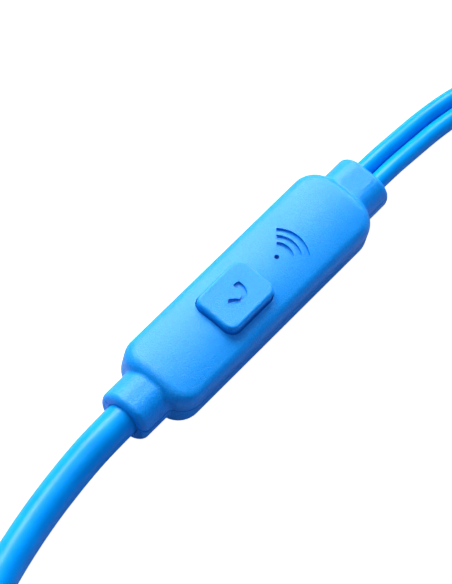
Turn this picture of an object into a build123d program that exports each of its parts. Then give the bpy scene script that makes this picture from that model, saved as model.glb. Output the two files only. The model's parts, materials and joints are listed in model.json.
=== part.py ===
from build123d import *
import math
import os

# Wired in-ear earphones with an in-line microphone pod.
# The pod lies along X on its flat underside. The single lead leaves it at -X and ends
# in a four-pole plug. The twin leads leave it at +X and end in the two earbuds.
# The origin is the centre of the pod's underside. Millimetres, +Z up.

# --- pod housing ---
POD_LENGTH = 24.8
POD_WIDTH = 7.4
POD_HEIGHT = 4.8
POD_CORNER = 2.1
POD_CROWN = 10.4
POD_TOP_EDGE = 1.05
POD_BOTTOM_EDGE = 1.7
POD_WALL = 0.8
SEAM_Z = 2.9
SEAM_GAP = 0.1
SEAM_DEPTH = 0.22
TONGUE_WALL = 0.35
TONGUE_HEIGHT = 0.4
TONGUE_FIT = 0.05

# --- leads ---
SINGLE_D = 2.9
TWIN_D = 1.5
TWIN_GAP = 0.02
LEAD_FIT = 0.05
LEAD_END_INSET = 0.5

# --- collars at the pod's ends: the plastic left beside and above each lead ---
COLLAR_LENGTH = 2.95
COLLAR_ROOT = 1.6
COLLAR_RIM = 0.55
COLLAR_BLEND = 0.4
COLLAR_CLEARANCE = 0.25
SINGLE_COLLAR_SIDE = 0.91
SINGLE_COLLAR_TOP = 0.6
TWIN_COLLAR_SIDE = 1.04
TWIN_COLLAR_TOP = 1.05
TWIN_DROP = 0.15

# --- button ---
BUTTON_X = -2.05
BUTTON_LENGTH = 5.7
BUTTON_WIDTH = 4.25
BUTTON_CORNER = 0.95
BUTTON_RISE = 0.6
BUTTON_EDGE = 0.32
BUTTON_GAP = 0.08
FLANGE_REACH = 0.45
FLANGE_THICK = 0.35
FLANGE_FIT = 0.03
BUTTON_TRAVEL = 0.25
PLUNGER_D = 1.6
PLUNGER_GAP = 0.1
ENGRAVING_DEPTH = 0.2
ICON_R = 1.0
ICON_STROKE = 0.46
ICON_TILT = 22.0

# --- microphone ---
MIC_HOLE_D = 0.42
MIC_D = 3.4
MIC_HEIGHT = 1.3
MIC_OFFSET = 2.4
MESH_D = 2.4
MESH_THICK = 0.1
BOSS_HEIGHT = 0.25
BOSS_RIM = 0.3
BOSS_LEDGE = 0.5
ARC_RADII = (1.2, 1.87, 2.54)
ARC_HALF_ANGLE = 40.0
ARC_STROKE = 0.44

# --- circuit board and switch ---
BOARD_END_ROOM = 3.7
BOARD_SIDE_ROOM = 0.45
BOARD_THICK = 0.5
BOARD_Z = 1.0
BOARD_CORNER = 0.6
RIB_WIDTH = 0.8
RIB_INSET = 1.2
SWITCH_BASE = (3.4, 3.0, 1.0)
SWITCH_WALL = 0.35
SWITCH_CORNER = 0.3
SWITCH_COVER = 0.15
DOME_THICK = 0.08
DOME_RISE = 0.4
STEM_D = 1.2
STEM_FIT = 0.06
WIRE_R = 0.16
PAD_R = 0.34
PAD_HEIGHT = 0.3
PAD_INSET = 1.0
CLAMP_WALL = 0.3
CLAMP_LENGTH = 0.6
CLAMP_FIT = 0.05
WIRE_ROOM = 0.35

# --- plug ---
PIN_D = 3.5
PIN_LENGTH = 14.0
PIN_TIP = 3.6
RING_LENGTH = 1.7
BAND_LENGTH = 0.7
CORE_D = 1.6
PLUG_BODY_D = 5.2
PLUG_BODY_LENGTH = 14.0
PLUG_BOOT_LENGTH = 6.0
PLUG_BOOT_D = 3.9
PLUG_BOOT_TAIL_D = 3.3
BOOT_FIT = 0.02

# --- put-away hanks, each a tied stack of long turns, placed from the pod's mouths ---
SINGLE_HANK_REACH = 54.15
SINGLE_HANK_RUN = 43.5
SINGLE_HANK_R = 8.7
SINGLE_HANK_LEVELS = 5
TWIN_HANK_REACH = 37.65
TWIN_HANK_RUN = 22.0
TWIN_HANK_R = 4.35
TWIN_HANK_LEVELS = 5
HANK_EDGE = 0.7
SINGLE_TIE = (12.0, 0.5)
TWIN_TIE = (6.0, 0.4)
SINGLE_TIE_SHIFT = 4.0
PLUG_Y = 4.0
PLUG_SHIFT = 8.0

# --- earbuds, standing on their flat backs ---
BUD_REACH = 70.65
BUD_GAP = 0.5
SHELL_R = 4.7
SHELL_WALL = 0.7
SHELL_HOLE_R = 0.5
REAR_HEIGHT = 4.2
FRONT_SHOULDER_Z = 7.0
NOZZLE_R = 2.3
NOZZLE_BORE_R = 1.5
NOZZLE_TOP = 10.4
TIP_FIT = 0.04
TIP_WALL = 0.55
TIP_OVERHANG = 0.5
TIP_TOP = 11.6
TIP_SKIRT_Z = 7.5
STEM_Z = 2.2
STEM_R = 1.45
STEM_LENGTH = 1.3
RELIEF_LENGTH = 4.5
RELIEF_TAIL_R = 1.0
DRIVER_FIT = 0.05
DRIVER_Z = 1.5
COIL_STROKE = 0.1
COIL_R = 2.4
COIL_THICK = 0.2
COIL_GAP = 0.12
YOKE_WALL = 0.6
YOKE_RIM = 0.75
DIAPHRAGM_Z = 4.1
DIAPHRAGM_R = 3.2

# --- places that follow from the sizes ---
COLLAR_Z = SINGLE_D / 2 + SINGLE_COLLAR_TOP + COLLAR_CLEARANCE
TWIN_Z = COLLAR_Z - TWIN_DROP
TWIN_PITCH = TWIN_D + TWIN_GAP
MOUTH_X = POD_LENGTH / 2 + COLLAR_LENGTH
CAVITY_X = POD_LENGTH / 2 - POD_WALL
CAVITY_TOP = POD_HEIGHT - POD_WALL
BUTTON_TOP = POD_HEIGHT + BUTTON_RISE
MIC_X = BUTTON_X + BUTTON_LENGTH / 2 + MIC_OFFSET
BOSS_R = MESH_D / 2 + BOSS_RIM
BOSS_BORE_R = MESH_D / 2 - BOSS_LEDGE
BOARD_LENGTH = POD_LENGTH - 2 * BOARD_END_ROOM
BOARD_WIDTH = POD_WIDTH - 2 * (POD_WALL + BOARD_SIDE_ROOM)
BOARD_TOP = BOARD_Z + BOARD_THICK
SINGLE_HANK_X = -MOUTH_X - SINGLE_HANK_REACH
TWIN_HANK_X = MOUTH_X + TWIN_HANK_REACH
PLUG_START_X = SINGLE_HANK_X - PLUG_SHIFT
TIP_R = SHELL_R + TIP_OVERHANG
BUD_X = MOUTH_X + BUD_REACH
BUD_Y = TIP_R + BUD_GAP / 2
STEM_REACH = SHELL_R + STEM_LENGTH

os.makedirs("parts", exist_ok=True)


def write(shape, node):
    export_step(shape, f"parts/{node}.step")


def spin(profile, axis=Axis.Z):
    return revolve(profile, axis, 360)


def rod(start, end, radius):
    """A round bar between two points."""
    line = Vector(*end) - Vector(*start)
    plane = Plane(origin=start, z_dir=line.normalized())
    return extrude(plane * Circle(radius), line.length)


def block(x, y, z, centre, corner=0.0):
    """A plate with rounded corners in plan, its underside at the centre point's z."""
    outline = RectangleRounded(x, y, corner) if corner else Rectangle(x, y)
    return Pos(*centre) * extrude(outline, z)


def slab(low, high):
    """Everything between two heights."""
    return Pos(0, 0, (low + high) / 2) * Box(400, 80, high - low)


def outer_body(inset):
    """The pod's crowned body, with every face moved in by the inset."""
    length = POD_LENGTH - 2 * inset
    width = POD_WIDTH - 2 * inset
    plan = RectangleRounded(length, width, POD_CORNER - inset)
    body = Pos(0, 0, inset) * extrude(plan, POD_HEIGHT - 2 * inset)
    crown = Pos(0, 0, POD_HEIGHT - POD_CROWN) * Rot(0, 90, 0) * Cylinder(POD_CROWN - inset, POD_LENGTH)
    body = body & crown
    top = body.faces().sort_by(Axis.Z)[-1].edges()
    body = fillet(top, max(POD_TOP_EDGE - inset, 0.1))
    bottom = body.faces().sort_by(Axis.Z)[0].edges()
    return fillet(bottom, max(POD_BOTTOM_EDGE - inset, 0.1))


def crown_drop(y, radius):
    """How far a crown has fallen at a distance from its top line."""
    return radius - math.sqrt(radius ** 2 - y ** 2)


def collar(side, width, height, inset):
    """One end collar: side is -1 for the single lead and 1 for the twin leads."""
    corner = height / 2 - 0.05
    outline = RectangleRounded(width - 2 * inset, height - 2 * inset, corner - inset)
    start = side * (POD_LENGTH / 2 - COLLAR_ROOT)
    plane = Plane(origin=(start, 0, COLLAR_Z), x_dir=(0, 1, 0), z_dir=(side, 0, 0))
    length = COLLAR_ROOT + COLLAR_LENGTH - inset
    bar = extrude(plane * outline, length)
    rim = bar.faces().sort_by(Axis.X)[0 if side < 0 else -1].edges()
    return fillet(rim, max(COLLAR_RIM - inset, 0.1))


def both_collars(inset):
    single = (SINGLE_D + 2 * SINGLE_COLLAR_SIDE, SINGLE_D + 2 * SINGLE_COLLAR_TOP)
    twin = (TWIN_PITCH + TWIN_D + 2 * TWIN_COLLAR_SIDE, TWIN_D + 2 * TWIN_COLLAR_TOP)
    return [collar(-1, *single, inset), collar(1, *twin, inset)]


def on_surface(shape, point):
    return min(face.distance_to(point) for face in shape.faces()) < 0.003


def blended(body, bar):
    """Body and collar as one solid, with a soft hollow all round the collar's root."""
    joined = body + bar
    roots = [
        edge for edge in joined.edges()
        if all(on_surface(bar, edge @ k) and on_surface(body, edge @ k) for k in (0.3, 0.5, 0.7))
    ]
    return fillet(roots, COLLAR_BLEND)


# --- lead bores ---
def twin_outline(fit):
    return RectangleRounded(TWIN_PITCH + TWIN_D + 2 * fit, TWIN_D + 2 * fit, TWIN_D / 2 + fit - 0.001)


def bores():
    single = rod((-MOUTH_X - 1, 0, COLLAR_Z), (-CAVITY_X + 1, 0, COLLAR_Z), SINGLE_D / 2 + LEAD_FIT)
    plane = Plane(origin=(CAVITY_X - 1, 0, TWIN_Z), x_dir=(0, 1, 0), z_dir=(1, 0, 0))
    return single + extrude(plane * twin_outline(LEAD_FIT), COLLAR_LENGTH + POD_WALL + 2)


def arc_groove(radius):
    """One sound arc round the microphone hole, opening towards the twin leads."""
    ring = Circle(radius + ARC_STROKE / 2) - Circle(radius - ARC_STROKE / 2)
    half = math.radians(ARC_HALF_ANGLE)
    reach = radius * 3
    wedge = make_face(Polyline(
        (0, 0),
        (reach * math.cos(half), reach * math.sin(half)),
        (reach * 1.5, 0),
        (reach * math.cos(half), -reach * math.sin(half)),
        close=True,
    ))
    return Pos(MIC_X, 0, POD_HEIGHT / 2) * extrude(ring & wedge, POD_HEIGHT)


# --- pod shells ---
single_collar, twin_collar = both_collars(0)
outside = blended(blended(outer_body(0), single_collar), twin_collar)
cavity = outer_body(POD_WALL)
skin = outside - (outer_body(SEAM_DEPTH) + both_collars(SEAM_DEPTH))
engraved = outside - outer_body(ENGRAVING_DEPTH)
lead_bores = bores()


def pod_top_shell():
    shell = (outside - cavity) & slab(SEAM_Z, POD_HEIGHT + 1)
    shell -= outer_body(TONGUE_WALL) & slab(SEAM_Z - 1, SEAM_Z + TONGUE_HEIGHT + TONGUE_FIT)
    boss = Pos(MIC_X, 0, CAVITY_TOP - BOSS_HEIGHT) * extrude(Circle(BOSS_R), BOSS_HEIGHT + POD_WALL / 2)
    shell += boss - Pos(MIC_X, 0, 0) * extrude(Circle(BOSS_BORE_R), CAVITY_TOP)
    shell -= lead_bores
    opening = (BUTTON_LENGTH + 2 * BUTTON_GAP, BUTTON_WIDTH + 2 * BUTTON_GAP, POD_HEIGHT)
    shell -= block(*opening, (BUTTON_X, 0, SEAM_Z), BUTTON_CORNER + BUTTON_GAP)
    shell -= Pos(MIC_X, 0, SEAM_Z) * extrude(Circle(MIC_HOLE_D / 2), POD_HEIGHT)
    for radius in ARC_RADII:
        shell -= arc_groove(radius) & engraved
    return shell


def pod_bottom_shell():
    shell = (outside - cavity) & slab(-1, SEAM_Z)
    tongue = outer_body(TONGUE_WALL + TONGUE_FIT) - cavity
    shell += tongue & slab(SEAM_Z - 0.3, SEAM_Z + TONGUE_HEIGHT)
    rib = (RIB_WIDTH, BOARD_WIDTH - RIB_WIDTH, BOARD_Z - POD_WALL + 0.1)
    for x in (-BOARD_LENGTH / 2 + RIB_INSET, 0, BOARD_LENGTH / 2 - RIB_INSET):
        shell += block(*rib, (x, 0, POD_WALL - 0.1))
    shell -= skin & slab(SEAM_Z - SEAM_GAP, SEAM_Z)
    return shell - lead_bores


write(pod_top_shell(), "pod_top_shell")
write(pod_bottom_shell(), "pod_bottom_shell")


# --- button, with its retaining flange and plunger ---
def handset_icon():
    """A plain curved handset, lying nearly along the pod with its hollow side up."""
    bow = Circle(ICON_R + ICON_STROKE / 2) - Circle(ICON_R - ICON_STROKE / 2)
    bow &= Pos(0, -ICON_R) * Rectangle(3 * ICON_R, 1.5 * ICON_R)
    for side in (-1, 1):
        pad = RectangleRounded(1.5 * ICON_STROKE, 2 * ICON_STROKE, 0.4 * ICON_STROKE)
        bow += Rot(0, 0, side * 62) * Pos(0, -ICON_R + 0.3 * ICON_STROKE) * Rot(0, 0, 90) * pad
    return Rot(0, 0, ICON_TILT) * Pos(0, 0.35 * ICON_R) * bow


def button_cap():
    flange_top = CAVITY_TOP - crown_drop(BUTTON_WIDTH / 2 + FLANGE_REACH, POD_CROWN - POD_WALL)
    flange_z = flange_top - FLANGE_FIT - FLANGE_THICK
    height = BUTTON_TOP - flange_z
    cap = block(BUTTON_LENGTH, BUTTON_WIDTH, height, (BUTTON_X, 0, flange_z), BUTTON_CORNER)
    cap = fillet(cap.faces().sort_by(Axis.Z)[-1].edges(), BUTTON_EDGE)
    reach = 2 * FLANGE_REACH
    flange_size = (BUTTON_LENGTH + reach, BUTTON_WIDTH + reach, FLANGE_THICK)
    cap += block(*flange_size, (BUTTON_X, 0, flange_z), BUTTON_CORNER)
    cap += rod((BUTTON_X, 0, STEM_TOP), (BUTTON_X, 0, flange_z + 0.1), PLUNGER_D / 2)
    icon = Pos(BUTTON_X, 0, BUTTON_TOP - ENGRAVING_DEPTH) * extrude(handset_icon(), 1)
    return cap - icon


# --- circuit board and what is soldered to it ---
BASE_L, BASE_W, BASE_H = SWITCH_BASE
COVER_TOP = BOARD_TOP + BASE_H + SWITCH_COVER
STEM_TOP = COVER_TOP + BUTTON_TRAVEL + PLUNGER_GAP
DOME_FOOT = BOARD_TOP + SWITCH_WALL
DOME_TOP = DOME_FOOT + DOME_RISE


def switch_base():
    base = block(BASE_L, BASE_W, BASE_H, (BUTTON_X, 0, BOARD_TOP), SWITCH_CORNER)
    well = (BASE_L - 2 * SWITCH_WALL, BASE_W - 2 * SWITCH_WALL, BASE_H)
    return base - block(*well, (BUTTON_X, 0, DOME_FOOT), SWITCH_CORNER)


def switch_cover():
    cover = block(BASE_L, BASE_W, SWITCH_COVER, (BUTTON_X, 0, BOARD_TOP + BASE_H), SWITCH_CORNER)
    return cover - rod((BUTTON_X, 0, 0), (BUTTON_X, 0, POD_HEIGHT), STEM_D / 2 + STEM_FIT)


def switch_dome():
    """A thin snap dome with a flat crown, standing on the floor of the switch's well."""
    radius = BASE_W / 2 - SWITCH_WALL - 0.1
    crown = STEM_D / 2
    outer = [(0, DOME_TOP), (crown, DOME_TOP), (radius, DOME_FOOT + DOME_THICK), (radius, DOME_FOOT)]
    inner = [(radius - 0.1, DOME_FOOT), (crown, DOME_TOP - DOME_THICK), (0, DOME_TOP - DOME_THICK)]
    profile = make_face(Plane.XZ * Polyline(*outer, *inner, close=True))
    return Pos(BUTTON_X, 0, 0) * spin(profile)


def switch_stem():
    return rod((BUTTON_X, 0, DOME_TOP), (BUTTON_X, 0, STEM_TOP), STEM_D / 2)


def microphone_mesh():
    return Pos(MIC_X, 0, CAVITY_TOP - BOSS_HEIGHT - MESH_THICK) * extrude(Circle(MESH_D / 2), MESH_THICK)


def microphone_gasket():
    low = BOARD_TOP + MIC_HEIGHT
    high = CAVITY_TOP - BOSS_HEIGHT - MESH_THICK
    return Pos(MIC_X, 0, low) * extrude(Circle(BOSS_R) - Circle(BOSS_BORE_R), high - low)


def microphone_capsule():
    can = Pos(MIC_X, 0, BOARD_TOP) * extrude(Circle(MIC_D / 2), MIC_HEIGHT)
    can = fillet(can.faces().sort_by(Axis.Z)[-1].edges(), 0.15)
    return can - Pos(MIC_X, 0, BOARD_TOP + MIC_HEIGHT - 0.3) * extrude(Circle(0.4), 1)


CHIP_SIZES = ((1.6, 0.8, 0.5), (1.0, 0.5, 0.35), (1.0, 0.5, 0.35), (1.6, 0.8, 0.5))
CHIP_SPOTS = ((-2.75, 1.5), (-2.75, -1.4), (2.45, 1.6), (2.65, -1.6))


def chip_components():
    return Compound([
        block(x, y, z, (BUTTON_X + cx, cy, BOARD_TOP))
        for (x, y, z), (cx, cy) in zip(CHIP_SIZES, CHIP_SPOTS)
    ])


SINGLE_WIRE_Y = (-1.05, -0.35, 0.35, 1.05)
TWIN_WIRE_Y = (-1.7, -1.0, 1.0, 1.7)
SINGLE_PAD_X = -BOARD_LENGTH / 2 + PAD_INSET
TWIN_PAD_X = BOARD_LENGTH / 2 - PAD_INSET


def solder_joints():
    spots = [(SINGLE_PAD_X, y) for y in SINGLE_WIRE_Y] + [(TWIN_PAD_X, y) for y in TWIN_WIRE_Y]
    return Compound([
        Pos(x, y, BOARD_TOP) * Cone(PAD_R, PAD_R * 0.55, PAD_HEIGHT, align=(Align.CENTER, Align.CENTER, Align.MIN))
        for x, y in spots
    ])


# --- lead ends inside the pod, their clamps and fine wires ---
CLAMP_X = POD_LENGTH / 2 - POD_BOTTOM_EDGE - CLAMP_FIT
LEAD_STOP_X = CLAMP_X - CLAMP_LENGTH - WIRE_ROOM
LEAD_START_X = MOUTH_X - LEAD_END_INSET


def lead_end(side, y, z, diameter):
    return rod((side * LEAD_START_X, y, z), (side * LEAD_STOP_X, y, z), diameter / 2)


def single_lead_clamp():
    ring = Circle(SINGLE_D / 2 + CLAMP_WALL) - Circle(SINGLE_D / 2)
    plane = Plane(origin=(-CLAMP_X, 0, COLLAR_Z), z_dir=(1, 0, 0))
    return extrude(plane * ring, CLAMP_LENGTH) & slab(POD_WALL, CAVITY_TOP - 0.1)


def twin_lead_clamp():
    plane = Plane(origin=(CLAMP_X, 0, TWIN_Z), x_dir=(0, 1, 0), z_dir=(-1, 0, 0))
    clamp = extrude(plane * twin_outline(CLAMP_WALL), CLAMP_LENGTH)
    for y in (-TWIN_PITCH / 2, TWIN_PITCH / 2):
        clamp -= rod((0, y, TWIN_Z), (POD_LENGTH, y, TWIN_Z), TWIN_D / 2)
    return clamp


def fine_wire(start, end):
    """One enamelled wire from a lead's end, level and then down to its solder joint."""
    middle = ((start[0] + end[0]) / 2, (start[1] + end[1]) / 2, start[2])
    path = FilletPolyline(start, middle, end, radius=0.25)
    plane = Plane(origin=path @ 0, z_dir=path % 0)
    return sweep(plane * Circle(WIRE_R), path)


def wires(side, spots):
    """Fine wires from each lead end's face to the tops of the solder joints."""
    pad_x = SINGLE_PAD_X if side < 0 else TWIN_PAD_X
    top = BOARD_TOP + PAD_HEIGHT
    return Compound([
        fine_wire((side * LEAD_STOP_X, y, z), (pad_x, pad_y, top))
        for (y, z), pad_y in spots
    ])


HALF_PITCH = TWIN_PITCH / 2
SINGLE_WIRE_SPOTS = [((y * 0.75, COLLAR_Z), y) for y in SINGLE_WIRE_Y]
TWIN_WIRE_SPOTS = [
    ((-HALF_PITCH - 0.25, TWIN_Z), TWIN_WIRE_Y[0]),
    ((-HALF_PITCH + 0.25, TWIN_Z), TWIN_WIRE_Y[1]),
    ((HALF_PITCH - 0.25, TWIN_Z), TWIN_WIRE_Y[2]),
    ((HALF_PITCH + 0.25, TWIN_Z), TWIN_WIRE_Y[3]),
]

write(button_cap(), "button_cap")
write(block(BOARD_LENGTH, BOARD_WIDTH, BOARD_THICK, (0, 0, BOARD_Z), BOARD_CORNER), "circuit_board")
write(switch_base(), "switch_base")
write(switch_cover(), "switch_cover")
write(switch_dome(), "switch_dome")
write(switch_stem(), "switch_stem")
write(microphone_capsule(), "microphone_capsule")
write(microphone_gasket(), "microphone_gasket")
write(microphone_mesh(), "microphone_mesh")
write(chip_components(), "chip_components")
write(solder_joints(), "solder_joints")
write(lead_end(-1, 0, COLLAR_Z, SINGLE_D), "single_lead_end")
write(lead_end(1, TWIN_PITCH / 2, TWIN_Z, TWIN_D), "left_lead_end")
write(lead_end(1, -TWIN_PITCH / 2, TWIN_Z, TWIN_D), "right_lead_end")
write(single_lead_clamp(), "single_lead_clamp")
write(twin_lead_clamp(), "twin_lead_clamp")
write(wires(-1, SINGLE_WIRE_SPOTS), "single_lead_wires")
write(wires(1, TWIN_WIRE_SPOTS), "twin_lead_wires")


# --- free cords: routes chosen by hand, each a tube of straight runs and tangent arcs ---
def corner_radii(points):
    """The largest arc that each corner's two runs allow."""
    radii = []
    for before, corner, after in zip(points, points[1:], points[2:]):
        arriving = Vector(*corner) - Vector(*before)
        leaving = Vector(*after) - Vector(*corner)
        half_turn = math.radians(arriving.get_angle(leaving)) / 2
        radii.append(0.45 * min(arriving.length, leaving.length) / math.tan(half_turn))
    return radii


def cord_tube(points, diameter, node):
    radii = corner_radii(points)
    path = FilletPolyline(*points, radius=radii)
    plane = Plane(origin=path @ 0, z_dir=path % 0)
    tube = sweep(plane * Circle(diameter / 2), path)
    section = math.pi * diameter ** 2 / 4
    print(node, "length", round(path.length, 1), "radii", [round(r, 1) for r in radii])
    print("  volume", round(tube.volume, 2), "section x length", round(section * path.length, 2))
    write(tube, node)


def stadium(run, radius):
    return SlotOverall(run + 2 * radius, 2 * radius)


def hank_solid(x, low, height, run, inner, outer):
    ring = stadium(run, outer) - stadium(run, inner)
    hank = Pos(x, 0, low) * extrude(ring, height)
    return fillet(hank.edges().filter_by(lambda edge: edge.center().Z in (low, low + height)), HANK_EDGE)


def hank_tie(x, band, low, height, half_width):
    """A flat band round the whole hank: its underside is on the surface."""
    length, thick = band
    outside_size = (2 * (half_width + thick), height + 2 * thick)
    plane = Plane(origin=(x - length / 2, 0, low + height / 2), x_dir=(0, 1, 0), z_dir=(1, 0, 0))
    outer = RectangleRounded(*outside_size, HANK_EDGE + thick)
    inner = RectangleRounded(2 * half_width, height, HANK_EDGE)
    return extrude(plane * (outer - inner), length)


# single lead: the surface's rest height, its hank and its tie
SINGLE_R = SINGLE_D / 2
SINGLE_LOW = SINGLE_TIE[1]
SINGLE_STACK = SINGLE_HANK_LEVELS * SINGLE_D
SINGLE_OUT = SINGLE_HANK_R + SINGLE_R
SINGLE_IN = SINGLE_HANK_R - SINGLE_R
TWIN_R = TWIN_D / 2
TWIN_LOW = TWIN_TIE[1]
TWIN_STACK = TWIN_HANK_LEVELS * TWIN_D
TWIN_OUT = TWIN_HANK_R + TWIN_PITCH + TWIN_R
TWIN_IN = TWIN_HANK_R - TWIN_R


def from_mouth(side, rest, steps):
    """Route points from (distance beyond the mouth, y, height above lying on the surface)."""
    return [(side * (MOUTH_X + x), y, rest + z) for x, y, z in steps]


SINGLE_ROUTE = [(-LEAD_START_X, 0, COLLAR_Z), (-MOUTH_X - 2.85, 0, COLLAR_Z)]
SINGLE_ROUTE += from_mouth(-1, SINGLE_R, [
    (6.65, -0.2, 0.3),
    (11.05, -0.75, 0.05),
    (15.85, -1.75, 0.01),
    (20.05, -3.0, 0.05),
    (24.05, -4.6, 0.1),
])
LEFT_ROUTE = [(LEAD_START_X, TWIN_PITCH / 2, TWIN_Z), (MOUTH_X + 2.25, TWIN_PITCH / 2, TWIN_Z)]
LEFT_ROUTE += from_mouth(1, TWIN_R, [
    (5.25, 0.72, 0.85),
    (8.85, 0.66, 0.25),
    (12.85, 0.12, 0.05),
    (16.85, -1.2, 0.01),
    (21.05, -3.0, 0.05),
])
RIGHT_ROUTE = [(LEAD_START_X, -TWIN_PITCH / 2, TWIN_Z), (MOUTH_X + 2.25, -TWIN_PITCH / 2, TWIN_Z)]
RIGHT_ROUTE += from_mouth(1, TWIN_R, [
    (5.25, -0.8, 0.85),
    (8.85, -0.87, 0.25),
    (12.85, -1.45, 0.05),
    (16.85, -2.84, 0.01),
    (22.3, -5.2, 0.05),
])

cord_tube(SINGLE_ROUTE, SINGLE_D, "single_lead_tube")
cord_tube(LEFT_ROUTE, TWIN_D, "left_lead_tube")
cord_tube(RIGHT_ROUTE, TWIN_D, "right_lead_tube")

single_hank = hank_solid(
    SINGLE_HANK_X, SINGLE_LOW, SINGLE_STACK, SINGLE_HANK_RUN, SINGLE_IN, SINGLE_OUT
)
twin_hank = hank_solid(TWIN_HANK_X, TWIN_LOW, TWIN_STACK, TWIN_HANK_RUN, TWIN_IN, TWIN_OUT)
write(single_hank, "single_lead_hank")
write(twin_hank, "twin_lead_hank")
TIE_X = SINGLE_HANK_X + SINGLE_TIE_SHIFT
write(hank_tie(TIE_X, SINGLE_TIE, SINGLE_LOW, SINGLE_STACK, SINGLE_OUT), "single_hank_tie")
write(hank_tie(TWIN_HANK_X, TWIN_TIE, TWIN_LOW, TWIN_STACK, TWIN_OUT), "twin_hank_tie")

# --- plug, lying along X on the hank's tie ---
PLUG_Z = SINGLE_LOW + SINGLE_STACK + SINGLE_TIE[1] + PLUG_BODY_D / 2
BOOT_END_X = PLUG_START_X + PLUG_BOOT_LENGTH
BODY_END_X = BOOT_END_X + PLUG_BODY_LENGTH
PIN_R = PIN_D / 2
TIP_START_X = BODY_END_X + PIN_LENGTH - PIN_TIP


def turned(points):
    """A solid of revolution about the plug's own axis, from (x, radius) points."""
    profile = make_face(Plane.XZ * Polyline(*points, close=True))
    return Pos(0, PLUG_Y, PLUG_Z) * spin(profile, Axis.X)


def barrel(start, end, radius, bore):
    return turned([(start, bore), (end, bore), (end, radius), (start, radius)])


def plug_tip():
    end = BODY_END_X + PIN_LENGTH
    neck = TIP_START_X + 1.0
    shoulder = TIP_START_X + 1.9
    points = [(TIP_START_X, 0), (TIP_START_X, PIN_R), (neck, PIN_R * 0.72), (shoulder, PIN_R)]
    return turned(points + [(end - 0.5, PIN_R * 0.45), (end, PIN_R * 0.2), (end, 0)])


def plug_bands():
    """From the tip backwards: insulating band, contact ring, band, ring, band, sleeve."""
    bands = []
    rings = []
    x = TIP_START_X
    for _ in range(2):
        bands.append(barrel(x - BAND_LENGTH, x, PIN_R, CORE_D / 2))
        x -= BAND_LENGTH
        rings.append(barrel(x - RING_LENGTH, x, PIN_R, CORE_D / 2))
        x -= RING_LENGTH
    bands.append(barrel(x - BAND_LENGTH, x, PIN_R, CORE_D / 2))
    return Compound(bands), rings, barrel(BODY_END_X, x - BAND_LENGTH, PIN_R, CORE_D / 2)


def plug_overmould():
    """A plain grip with a slim waist, bored for the boot and the pin's core."""
    radius = PLUG_BODY_D / 2
    middle = (BOOT_END_X + BODY_END_X) / 2
    grip = [
        (BOOT_END_X, PLUG_BOOT_D / 2 + 0.2),
        (BOOT_END_X + 1.2, radius),
        (middle, radius),
        (BODY_END_X - 0.6, radius),
        (BODY_END_X, radius - 0.5),
    ]
    return turned([(BOOT_END_X, 0)] + grip + [(BODY_END_X, 0)])


def plug_boot():
    grip = [(PLUG_START_X, SINGLE_R + BOOT_FIT), (PLUG_START_X, PLUG_BOOT_TAIL_D / 2)]
    grip += [(BOOT_END_X, PLUG_BOOT_D / 2), (BOOT_END_X, SINGLE_R + BOOT_FIT)]
    boot = turned(grip)
    for k in range(3):
        x = PLUG_START_X + 1.2 + 1.5 * k
        boot -= barrel(x, x + 0.5, PLUG_BOOT_D, SINGLE_R + 0.16)
    return boot


bands, rings, sleeve = plug_bands()
write(plug_tip(), "plug_tip")
write(bands, "plug_insulators")
write(rings[0], "plug_ring_front")
write(rings[1], "plug_ring_rear")
write(sleeve, "plug_sleeve")
write(barrel(BODY_END_X, TIP_START_X, CORE_D / 2, 0), "plug_core")
write(plug_overmould(), "plug_overmould")
write(plug_boot(), "plug_boot")

STACK_TOP = SINGLE_LOW + SINGLE_STACK
PLUG_ROUTE = [
    (SINGLE_HANK_X - 25.0, 8.7, STACK_TOP - 0.6),
    (SINGLE_HANK_X - 20.0, 7.9, STACK_TOP + 0.5),
    (SINGLE_HANK_X - 15.2, 5.8, STACK_TOP + 2.2),
    (PLUG_START_X - 2.2, PLUG_Y, PLUG_Z),
    (BOOT_END_X, PLUG_Y, PLUG_Z),
]
cord_tube(PLUG_ROUTE, SINGLE_D, "plug_lead_tube")

# --- tails from the twin hank to the earbuds ---
TAIL_TOP = TWIN_LOW + TWIN_STACK - TWIN_R
RELIEF_X = BUD_X - STEM_REACH - RELIEF_LENGTH
STEM_END_X = BUD_X - STEM_REACH
LEFT_TAIL = [
    (TWIN_HANK_X + 5.4, -4.1, TAIL_TOP + 0.3),
    (TWIN_HANK_X + 9.4, -3.2, TAIL_TOP + 1.4),
    (TWIN_HANK_X + 13.4, -0.6, TAIL_TOP + 1.3),
    (TWIN_HANK_X + 16.4, 2.8, TAIL_TOP - 0.9),
    (TWIN_HANK_X + 18.6, BUD_Y - 0.65, STEM_Z + 1.4),
    (RELIEF_X - 1.4, BUD_Y, STEM_Z),
    (STEM_END_X + 0.5, BUD_Y, STEM_Z),
]
RIGHT_TAIL = [
    (TWIN_HANK_X + 10.4, -TWIN_OUT + 0.75, TAIL_TOP + 0.3),
    (TWIN_HANK_X + 14.4, -TWIN_OUT + 0.65, TAIL_TOP),
    (TWIN_HANK_X + 17.6, -BUD_Y - 0.25, TAIL_TOP - 2.0),
    (RELIEF_X - 1.7, -BUD_Y, STEM_Z),
    (STEM_END_X + 0.5, -BUD_Y, STEM_Z),
]
cord_tube(LEFT_TAIL, TWIN_D, "left_tail_tube")
cord_tube(RIGHT_TAIL, TWIN_D, "right_tail_tube")

# --- earbuds ---
SHELL_IN = SHELL_R - SHELL_WALL
DRIVER_R = SHELL_IN - DRIVER_FIT
YOKE_R = COIL_R + COIL_GAP + YOKE_RIM
MAGNET_R = COIL_R - COIL_THICK - COIL_GAP
MAGNET_TOP = DRIVER_Z + 1.9
COIL_LOW = DRIVER_Z + YOKE_WALL + COIL_STROKE + 0.2


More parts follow.
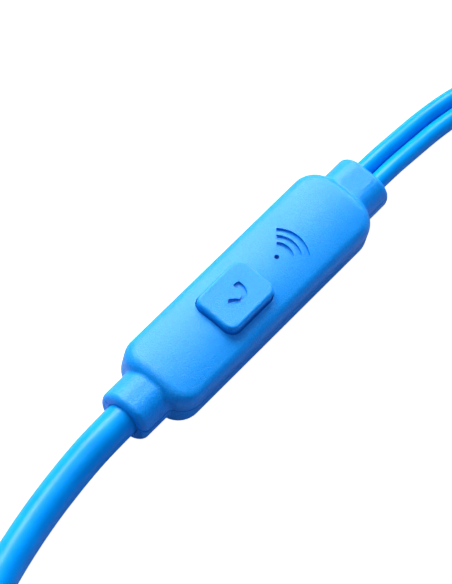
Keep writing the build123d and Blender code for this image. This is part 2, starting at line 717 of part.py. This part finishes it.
def lathe(points):
    """A solid of revolution about Z, from (radius, z) points."""
    return spin(make_face(Plane.XZ * Polyline(*points, close=True)))


def ring(outer, inner, low, high):
    return lathe([(inner, low), (outer, low), (outer, high), (inner, high)])


def rear_housing():
    cup = Cylinder(SHELL_R, REAR_HEIGHT, align=(Align.CENTER, Align.CENTER, Align.MIN))
    cup = fillet(cup.faces().sort_by(Axis.Z)[0].edges(), 0.7)
    cup += rod((-SHELL_R + 0.5, 0, STEM_Z), (-STEM_REACH, 0, STEM_Z), STEM_R)
    cup -= ring(SHELL_IN, 0, SHELL_WALL, REAR_HEIGHT + 1)
    cup -= rod((-SHELL_IN + 0.5, 0, STEM_Z), (-STEM_REACH - 1, 0, STEM_Z), TWIN_R + LEAD_FIT)
    return cup - ring(SHELL_HOLE_R, 0, -1, SHELL_WALL + 1)


def front_housing():
    outer = [(SHELL_R, REAR_HEIGHT), (SHELL_R, REAR_HEIGHT + 0.6), (4.35, 5.6), (3.6, 6.4), (2.85, FRONT_SHOULDER_Z)]
    outer += [(NOZZLE_R, FRONT_SHOULDER_Z + 0.1), (NOZZLE_R, NOZZLE_TOP)]
    seat = [(1.95, NOZZLE_TOP), (1.95, NOZZLE_TOP - 0.25), (NOZZLE_BORE_R, NOZZLE_TOP - 0.25)]
    inner = [(NOZZLE_BORE_R, FRONT_SHOULDER_Z), (2.6, 6.2), (3.3, 5.5), (SHELL_IN, 4.9), (SHELL_IN, REAR_HEIGHT)]
    return lathe(outer + seat + inner)


def ear_tip():
    """A soft flange tip: an inner tube on the nozzle and a thin umbrella folded back over it."""
    bore = NOZZLE_R + TIP_FIT
    tube = bore + TIP_WALL
    with BuildPart() as tip:
        with BuildSketch(Plane.XZ):
            with BuildLine():
                start = (bore, FRONT_SHOULDER_Z + 0.1)
                Line(start, (bore, NOZZLE_TOP + 0.05))
                Line((bore, NOZZLE_TOP + 0.05), (1.75, TIP_TOP - 0.4))
                Line((1.75, TIP_TOP - 0.4), (2.1, TIP_TOP))
                Spline(
                    (2.1, TIP_TOP), (3.7, TIP_TOP - 0.75), (4.85, TIP_TOP - 2.4), (TIP_R, TIP_SKIRT_Z),
                    tangents=((1, -0.1), (0.02, -1)),
                )
                Line((TIP_R, TIP_SKIRT_Z), (TIP_R - 0.35, TIP_SKIRT_Z))
                Spline(
                    (TIP_R - 0.35, TIP_SKIRT_Z), (4.4, TIP_TOP - 2.5), (tube, TIP_TOP - 1.3),
                    tangents=((-0.02, 1), (-1, 0.25)),
                )
                Line((tube, TIP_TOP - 1.3), (tube, FRONT_SHOULDER_Z + 0.1))
                Line((tube, FRONT_SHOULDER_Z + 0.1), start)
            make_face()
        revolve(axis=Axis.Z)
    return tip.part


def strain_relief():
    profile = [
        (-STEM_REACH, TWIN_R + 0.02),
        (-STEM_REACH, STEM_R - 0.1),
        (-STEM_REACH - RELIEF_LENGTH, RELIEF_TAIL_R),
        (-STEM_REACH - RELIEF_LENGTH, TWIN_R + 0.02),
    ]
    sleeve_part = make_face(Plane.XZ * Polyline(*profile, close=True))
    sleeve_part = Pos(0, 0, STEM_Z) * spin(sleeve_part, Axis.X)
    for k in range(3):
        x = -STEM_REACH - 1.0 - 1.1 * k
        groove = ring(STEM_R + 1, TWIN_R + 0.14, 0, 0.35)
        sleeve_part -= Pos(x, 0, STEM_Z) * Rot(0, -90, 0) * groove
    return sleeve_part


def earbud():
    """Every piece of one earbud, on its own axis."""
    rim = [(YOKE_R, DRIVER_Z + 0.6), (DRIVER_R, DRIVER_Z + 1.6), (DRIVER_R, DIAPHRAGM_Z + 0.3)]
    rim += [(DIAPHRAGM_R + 0.05, DIAPHRAGM_Z + 0.3), (DIAPHRAGM_R + 0.05, DIAPHRAGM_Z - 0.3)]
    rim += [(YOKE_R, MAGNET_TOP)]
    coil_high = DIAPHRAGM_Z
    yoke = [(0, DRIVER_Z), (YOKE_R, DRIVER_Z), (YOKE_R, MAGNET_TOP)]
    yoke += [(COIL_R + COIL_GAP, MAGNET_TOP), (COIL_R + COIL_GAP, DRIVER_Z + YOKE_WALL)]
    yoke += [(0, DRIVER_Z + YOKE_WALL)]
    dome = [(0, DIAPHRAGM_Z + 0.7), (1.4, DIAPHRAGM_Z + 0.5), (COIL_R - 0.05, DIAPHRAGM_Z + 0.1)]
    dome += [(DIAPHRAGM_R - 0.4, DIAPHRAGM_Z + 0.28), (DIAPHRAGM_R, DIAPHRAGM_Z + 0.1), (DIAPHRAGM_R, DIAPHRAGM_Z)]
    dome += [(COIL_R - COIL_THICK, DIAPHRAGM_Z), (1.4, DIAPHRAGM_Z + 0.38), (0, DIAPHRAGM_Z + 0.58)]
    return {
        "rear_housing": rear_housing(),
        "front_housing": front_housing(),
        "ear_tip": ear_tip(),
        "nozzle_mesh": ring(1.93, 0, NOZZLE_TOP - 0.25, NOZZLE_TOP - 0.1),
        "driver_frame": lathe(rim),
        "driver_yoke": lathe(yoke),
        "driver_magnet": ring(MAGNET_R, 0, DRIVER_Z + YOKE_WALL, MAGNET_TOP),
        "voice_coil": ring(COIL_R, COIL_R - COIL_THICK, COIL_LOW, coil_high),
        "diaphragm": lathe(dome),
        "rear_damper": ring(1.5, 0, SHELL_WALL, SHELL_WALL + 0.3),
        "strain_relief": strain_relief(),
    }


for side, y in (("left", BUD_Y), ("right", -BUD_Y)):
    for piece, shape in earbud().items():
        write(Pos(BUD_X, y, 0) * shape, f"{side}_{piece}")
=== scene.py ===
import bpy
import json
import math
import random
from mathutils import Matrix, Vector


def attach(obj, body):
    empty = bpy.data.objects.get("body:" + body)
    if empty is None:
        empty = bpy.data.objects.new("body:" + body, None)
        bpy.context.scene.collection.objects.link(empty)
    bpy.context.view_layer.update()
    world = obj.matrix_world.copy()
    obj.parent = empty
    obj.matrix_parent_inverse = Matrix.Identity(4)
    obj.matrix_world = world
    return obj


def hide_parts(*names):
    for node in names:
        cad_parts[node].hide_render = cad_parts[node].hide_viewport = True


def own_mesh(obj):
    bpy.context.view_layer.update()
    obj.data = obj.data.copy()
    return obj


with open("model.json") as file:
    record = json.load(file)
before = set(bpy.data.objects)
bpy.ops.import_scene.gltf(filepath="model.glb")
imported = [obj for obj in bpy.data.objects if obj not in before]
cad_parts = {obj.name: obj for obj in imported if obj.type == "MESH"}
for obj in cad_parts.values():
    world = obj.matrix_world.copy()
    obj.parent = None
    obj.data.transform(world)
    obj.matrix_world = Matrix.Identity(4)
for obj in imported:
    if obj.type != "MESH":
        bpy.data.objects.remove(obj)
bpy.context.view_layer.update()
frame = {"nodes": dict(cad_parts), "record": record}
nodes = frame["nodes"]
mm = 0.001
print("frame loaded:", len(nodes), "nodes")


# shader helpers
def newMaterial(name):
    mat = bpy.data.materials.new(name)
    mat.use_nodes = True
    tree = mat.node_tree
    return mat, tree, tree.nodes["Principled BSDF"]


def addNode(tree, kind, **settings):
    node = tree.nodes.new(kind)
    for key, value in settings.items():
        if key in node.inputs:
            node.inputs[key].default_value = value
        else:
            setattr(node, key, value)
    return node


def ramp(tree, source, stops):
    node = tree.nodes.new("ShaderNodeValToRGB")
    band = node.color_ramp
    while len(band.elements) < len(stops):
        band.elements.new(0.5)
    for element, (position, color) in zip(band.elements, stops):
        element.position = position
        element.color = (*color, 1)
    tree.links.new(source, node.inputs["Fac"])
    return node.outputs["Color"]


def noise(tree, scale, detail=4.0, rough=0.55):
    place = tree.nodes.new("ShaderNodeTexCoord")
    tex = addNode(tree, "ShaderNodeTexNoise", Scale=scale, Detail=detail, Roughness=rough)
    tree.links.new(place.outputs["Object"], tex.inputs["Vector"])
    return tex.outputs["Fac"]


def addBump(tree, shader, height, strength, distance):
    bump = addNode(tree, "ShaderNodeBump", Strength=strength, Distance=distance)
    tree.links.new(height, bump.inputs["Height"])
    tree.links.new(bump.outputs["Normal"], shader.inputs["Normal"])
    return bump


def clampedRoughness(tree, shader, source, low, high):
    spread = addNode(tree, "ShaderNodeMapRange")
    spread.inputs["To Min"].default_value = low
    spread.inputs["To Max"].default_value = high
    tree.links.new(source, spread.inputs["Value"])
    tree.links.new(spread.outputs["Result"], shader.inputs["Roughness"])


# moulded housing: satin plastic with the fine grain of a spark-eroded mould
housing = {
    "deep": (0.0, 0.25, 0.78),
    "light": (0.0, 0.345, 0.95),
    "grainScale": 8000.0,
    "grainBump": 0.8,
    "grainDepth": 0.00006,
    "roughness": (0.27, 0.37),
    "gloss": 0.45,
}


def mouldedPlastic(name, paintedLightLift=0.0):
    mat, tree, shader = newMaterial(name)
    grain = noise(tree, housing["grainScale"], 3.0, 0.7)
    # lift paints the colour lighter: painted light for a part that catches more light than the rest
    deep, light = (tuple(min(c * (1 + paintedLightLift), 1) for c in housing[k]) for k in ("deep", "light"))
    tree.links.new(ramp(tree, grain, [(0.35, deep), (0.65, light)]), shader.inputs["Base Color"])
    clampedRoughness(tree, shader, grain, *housing["roughness"])
    addBump(tree, shader, grain, housing["grainBump"], housing["grainDepth"])
    shader.inputs["Specular IOR Level"].default_value = housing["gloss"]
    return mat


# lead jackets: smooth extruded elastomer
jacket = {
    "deep": (0.0, 0.29, 0.82),
    "light": (0.0, 0.33, 0.88),
    "cloudScale": 500.0,
    "grainScale": 2600.0,
    "grainBump": 0.05,
    "grainDepth": 0.00002,
    "roughness": (0.26, 0.34),
    "gloss": 0.22,
}


def jacketRubber(name):
    mat, tree, shader = newMaterial(name)
    cloud = noise(tree, jacket["cloudScale"], 2.0)
    colors = [(0.3, jacket["deep"]), (0.7, jacket["light"])]
    tree.links.new(ramp(tree, cloud, colors), shader.inputs["Base Color"])
    fine = noise(tree, jacket["grainScale"], 2.0)
    clampedRoughness(tree, shader, fine, *jacket["roughness"])
    addBump(tree, shader, fine, jacket["grainBump"], jacket["grainDepth"])
    shader.inputs["Specular IOR Level"].default_value = jacket["gloss"]
    return mat


fineDepth = 0.00002  # depth of the finest grain, metres


def plainPlastic(name, color, roughness, scale=2500.0, bump=0.12):
    mat, tree, shader = newMaterial(name)
    grain = noise(tree, scale, 3.0)
    darker = tuple(c * 0.82 for c in color)
    tree.links.new(ramp(tree, grain, [(0.35, darker), (0.65, color)]), shader.inputs["Base Color"])
    clampedRoughness(tree, shader, grain, roughness - 0.05, roughness + 0.07)
    addBump(tree, shader, grain, bump, fineDepth)
    return mat


def turnedMetal(name, color, roughness, scale=900.0):
    mat, tree, shader = newMaterial(name)
    shader.inputs["Metallic"].default_value = 1.0
    marks = noise(tree, scale, 5.0, 0.65)
    worn = tuple(c * 0.9 for c in color)
    tree.links.new(ramp(tree, marks, [(0.35, worn), (0.7, color)]), shader.inputs["Base Color"])
    clampedRoughness(tree, shader, marks, roughness - 0.05, roughness + 0.08)
    addBump(tree, shader, marks, 0.05, fineDepth)
    return mat


# ear tips: soft, slightly clear silicone
silicone = {
    "color": (0.01, 0.27, 0.86),
    "cloudScale": 700.0,
    "grainScale": 5000.0,
    "grainBump": 0.08,
    "roughness": (0.38, 0.5),
    "clearness": 0.25,
    "glowReach": (0.0006, 0.0009, 0.0015),  # metres, for red, green and blue
}


def softSilicone(name):
    color = silicone["color"]
    mat, tree, shader = newMaterial(name)
    cloud = noise(tree, silicone["cloudScale"], 3.0)
    deeper = tuple(c * 0.9 for c in color)
    tree.links.new(ramp(tree, cloud, [(0.3, deeper), (0.7, color)]), shader.inputs["Base Color"])
    clampedRoughness(tree, shader, cloud, *silicone["roughness"])
    grain = noise(tree, silicone["grainScale"], 2.0)
    addBump(tree, shader, grain, silicone["grainBump"], fineDepth)
    shader.inputs["Subsurface Weight"].default_value = silicone["clearness"]
    shader.inputs["Subsurface Radius"].default_value = silicone["glowReach"]
    return mat


finishes = {
    "blue_shell": mouldedPlastic("satinBlue"),
    # the button's copy is painted 3% lighter, a painted highlight for the brighter light on its flat
    # top
    "blue_button": mouldedPlastic("satinBlueButton", 0.03),
    "blue_cord": jacketRubber("blueJacket"),
    "board": plainPlastic("solderMask", (0.02, 0.16, 0.06), 0.35),
    "black_plastic": plainPlastic("blackNylon", (0.02, 0.02, 0.022), 0.42),
    "steel": turnedMetal("stampedSteel", (0.62, 0.62, 0.64), 0.3),
    "aluminium_can": turnedMetal("drawnAluminium", (0.8, 0.8, 0.82), 0.28),
    "black_rubber": plainPlastic("blackRubber", (0.03, 0.03, 0.03), 0.6),
    "chip": plainPlastic("ceramicChip", (0.14, 0.1, 0.08), 0.5),
    "solder": turnedMetal("brightSolder", (0.7, 0.7, 0.72), 0.2),
    "brass_clamp": turnedMetal("plainBrass", (0.8, 0.56, 0.24), 0.28),
    "copper": turnedMetal("enamelledCopper", (0.75, 0.32, 0.16), 0.25),
    "plug_metal": turnedMetal("nickelPlate", (0.78, 0.78, 0.8), 0.16),
    "silicone_tip": softSilicone("blueSilicone"),
    "tie_band": plainPlastic("elasticBand", (0.72, 0.75, 0.8), 0.6, 3500.0, 0.3),
    "magnet": turnedMetal("platedMagnet", (0.5, 0.5, 0.52), 0.3),
    "film": plainPlastic("polyesterFilm", (0.5, 0.42, 0.2), 0.3),
    "felt": plainPlastic("acousticFelt", (0.3, 0.3, 0.3), 0.9, 6000.0, 0.6),
}
for part in frame["record"]["subparts"]:
    mesh = nodes[part["node"]].data
    mesh.materials.clear()
    mesh.materials.append(finishes[part["material_slot"]])
print("materials made:", len(finishes))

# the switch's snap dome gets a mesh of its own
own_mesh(nodes["switch_dome"])


# the plain studio round the object
studio = {
    "floorSize": 6.0,
    "floorDrop": 0.00002,
    "floorColor": (0.45, 0.46, 0.47),
    "floorGlow": 1.0,
    "worldColor": (0.1, 0.55, 1.0),
    "worldStrength": 0.18,
}
lamps = {
    "softboxBehind": {
        "direction": (0.454, 0.62, 0.64), "distance": 0.7, "size": (0.55, 0.3), "power": 6.2,
    },
    "sideFill": {
        "direction": (0.1, 0.9, 0.5), "distance": 0.8, "size": (0.8, 0.4), "power": 5.6,
        "shine": False,
    },
    "overhead": {
        "direction": (-0.1, 0.1, 1.0), "distance": 1.0, "size": (0.6, 0.6), "power": 1.6,
    },
    "rimAlong": {
        "direction": (0.95, 0.2, 0.3), "distance": 0.8, "size": (0.35, 0.2), "power": 2.0,
    },
    "edgeFront": {
        "direction": (0.45, -0.85, 0.2), "distance": 0.9, "size": (0.5, 0.08), "power": 1.5,
        "color": (0.0, 0.3, 1.0),
    },
}
view = {
    "azimuth": -64.9,
    "elevation": 59.9,
    "roll": 17.2,
    "distance": 0.327,
    "lens": 252.0,
    "target": (-0.00083, 0.00147, 0.0023),
}


def makeFloor():
    bpy.ops.mesh.primitive_plane_add(size=studio["floorSize"], location=(0, 0, -studio["floorDrop"]))
    floor = bpy.context.object
    floor.name = "floor"
    mat, tree, shader = newMaterial("paleFloor")
    shader.inputs["Base Color"].default_value = (*studio["floorColor"], 1)
    shader.inputs["Roughness"].default_value = 0.8
    shader.inputs["Emission Color"].default_value = (1, 1, 1, 1)
    shader.inputs["Emission Strength"].default_value = studio["floorGlow"]
    floor.data.materials.append(mat)
    # the floor's own glow keeps the ground white and doesn't light the object from below
    lit = bpy.data.collections.new("litByFloor")
    lit.objects.link(floor)
    floor.light_linking.receiver_collection = lit


def areaLight(name, direction, distance, size, power, color=(1, 1, 1), shine=True):
    light = bpy.data.lights.new(name, "AREA")
    light.shape = "RECTANGLE"
    light.size, light.size_y = size
    light.energy = power
    light.color = color
    lamp = bpy.data.objects.new(name, light)
    bpy.context.collection.objects.link(lamp)
    lamp.location = Vector(direction).normalized() * distance
    lamp.rotation_euler = Vector(direction).to_track_quat("Z", "Y").to_euler()
    lamp.visible_glossy = shine


def makeCamera():
    data = bpy.data.cameras.new("camera")
    camera = bpy.data.objects.new("camera", data)
    bpy.context.collection.objects.link(camera)
    a, e, r = (math.radians(view[k]) for k in ("azimuth", "elevation", "roll"))
    back = Vector((math.sin(a) * math.cos(e), -math.cos(a) * math.cos(e), math.sin(e)))
    right = Vector((math.cos(a), math.sin(a), 0))
    up = back.cross(right)
    rolledRight = right * math.cos(r) + up * math.sin(r)
    rolledUp = back.cross(rolledRight)
    camera.location = Vector(view["target"]) + back * view["distance"]
    turn = [[rolledRight[k], rolledUp[k], back[k]] for k in range(3)]
    camera.rotation_euler = Matrix(turn).to_euler()
    data.lens = view["lens"]
    data.sensor_width = 36.0
    data.clip_start = 0.01
    data.clip_end = 20.0
    bpy.context.scene.camera = camera


makeFloor()
for lampName, lampSet in lamps.items():
    areaLight(lampName, **lampSet)
world = bpy.data.worlds.new("studioWorld")
world.use_nodes = True
world.node_tree.nodes["Background"].inputs["Color"].default_value = (*studio["worldColor"], 1)
world.node_tree.nodes["Background"].inputs["Strength"].default_value = studio["worldStrength"]
bpy.context.scene.world = world
bpy.context.scene.view_settings.view_transform = "Standard"
makeCamera()
print("stage, lights and camera set")


# the leads: routes in millimetres, then turns put away in a tied hank
singleLead = {
    "diameter": 2.9,
    "length": 0.70,
    "route": [
        (-14.85, 0, 2.3),
        (-18.2, 0, 2.3),
        (-22.0, -0.2, 1.75),
        (-26.4, -0.75, 1.5),
        (-31.2, -1.75, 1.46),
        (-35.4, -3.0, 1.5),
        (-39.4, -4.6, 1.55),
    ],
    "join": [(-43.8, -6.9, 1.7), (-48.0, -8.4, 1.9)],
    "exit": (-0.01535, 0, 0.0023),
    "seed": 5,
    "hank": {"x": -69.5, "run": 43.5, "radius": 8.7, "levels": 5, "low": 0.5},
    "tail": [
        (-94.5, 8.7, 14.4),
        (-89.5, 7.9, 15.5),
        (-84.7, 5.8, 17.2),
        (-79.7, 4.0, 18.1),
        (-75.5, 4.0, 18.1),
        (-71.5, 4.0, 18.1),
    ],
}
twinLeads = {
    "diameter": 1.5,
    "pitch": 1.52,
    "length": 0.37,
    "exitX": 0.01535,
    "exitZ": 0.00215,
    "seed": 9,
    "hank": {"x": 53.0, "run": 22.0, "radius": 4.35, "levels": 5, "low": 0.4},
    "left": [
        (14.85, 0.76, 2.15),
        (17.6, 0.76, 2.15),
        (20.6, 0.72, 1.6),
        (24.2, 0.66, 1.0),
        (28.2, 0.12, 0.8),
        (32.2, -1.2, 0.76),
        (36.4, -3.0, 0.8),
    ],
    "right": [
        (14.85, -0.76, 2.15),
        (17.6, -0.76, 2.15),
        (20.6, -0.8, 1.6),
        (24.2, -0.87, 1.0),
        (28.2, -1.45, 0.8),
        (32.2, -2.84, 0.76),
        (37.65, -5.2, 0.8),
    ],
    "leftTail": [
        (58.4, -4.1, 7.45),
        (62.4, -3.2, 8.55),
        (66.4, -0.6, 8.45),
        (69.4, 2.8, 6.25),
        (71.6, 4.8, 3.6),
        (74.1, 5.45, 2.2),
        (80.5, 5.45, 2.2),
    ],
    "rightTail": [
        (63.4, -5.87, 7.45),
        (67.4, -5.97, 7.15),
        (70.6, -5.7, 5.15),
        (73.8, -5.45, 2.2),
        (80.5, -5.45, 2.2),
    ],
}
foldSteps = 8  # control points over each half-circle fold
looseness = 0.5  # how far a fold may lie out of line with the one under it, mm
runStops = (0.25, 0.6)  # places along a level run
climbStops = ((0.28, 0.0), (0.5, 0.25), (0.75, 0.8), (0.95, 1.0))  # (place, share of the climb)


# control points of the long turns; heading is -1 or 1, the way along X that the first run goes
def hankTurns(hank, diameter, heading, seed, widen=0.0, endFold=True):
    dice = random.Random(seed)
    radius = hank["radius"] + widen
    swell = 1 / math.cos(math.pi / foldSteps / 2)
    half = hank["run"] / 2
    points = []
    for level in range(hank["levels"]):
        z = hank["low"] + diameter * (level + 0.5)
        far = hank["x"] + heading * half
        near = hank["x"] - heading * half
        wander = dice.uniform(-looseness, looseness)
        for part in runStops:
            x = near + heading * hank["run"] * part
            points.append((x, -radius + wander * 0.4, z))
        if level == hank["levels"] - 1 and not endFold:
            break
        reach = dice.uniform(0, looseness)
        for step in range(foldSteps + 1):
            angle = -math.pi / 2 + math.pi * step / foldSteps
            x = far + heading * (reach + radius * swell * math.cos(angle))
            points.append((x, radius * swell * math.sin(angle), z))
        if level == hank["levels"] - 1:
            break
        for part, climb in climbStops:
            x = far - heading * hank["run"] * part
            points.append((x, radius + wander * 0.3, z + diameter * climb))
        reach = dice.uniform(0, looseness)
        for step in range(1, foldSteps + 1):
            angle = math.pi / 2 - math.pi * step / foldSteps
            x = near - heading * (reach + radius * swell * math.cos(angle))
            points.append((x, radius * swell * math.sin(angle), z + diameter))
    return points


def leadCurve(name, points, diameter, finish):
    curve = bpy.data.curves.new(name, "CURVE")
    curve.dimensions = "3D"
    curve.bevel_depth = diameter / 2 * mm
    curve.bevel_resolution = 7
    curve.resolution_u = 8
    curve.use_fill_caps = True
    spline = curve.splines.new("NURBS")
    spline.points.add(len(points) - 1)
    for place, point in zip(spline.points, points):
        place.co = (*(c * mm for c in point), 1)
    spline.order_u = 3
    spline.use_endpoint_u = True
    spline.use_smooth = True
    curve.materials.append(finish)
    lead = bpy.data.objects.new(name, curve)
    bpy.context.collection.objects.link(lead)
    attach(lead, "earphones")
    return lead


def makeLeads():
    single = singleLead
    turns = hankTurns(single["hank"], single["diameter"], -1, single["seed"])
    points = single["route"] + single["join"] + turns + single["tail"]
    lead = leadCurve("singleLead", points, single["diameter"], finishes["blue_cord"])
    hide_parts("single_lead_tube", "single_lead_hank", "plug_lead_tube")
    twin = twinLeads
    for side, widen in (("left", 0.0), ("right", twin["pitch"])):
        turns = hankTurns(
            twin["hank"], twin["diameter"], 1, twin["seed"], widen, endFold=False
        )
        points = twin[side] + turns + twin[side + "Tail"]
        lead = leadCurve(side + "Lead", points, twin["diameter"], finishes["blue_cord"])
        spare = ["twin_lead_hank"] if side == "left" else []
        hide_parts(f"{side}_lead_tube", f"{side}_tail_tube", *spare)


makeLeads()
print("leads laid")
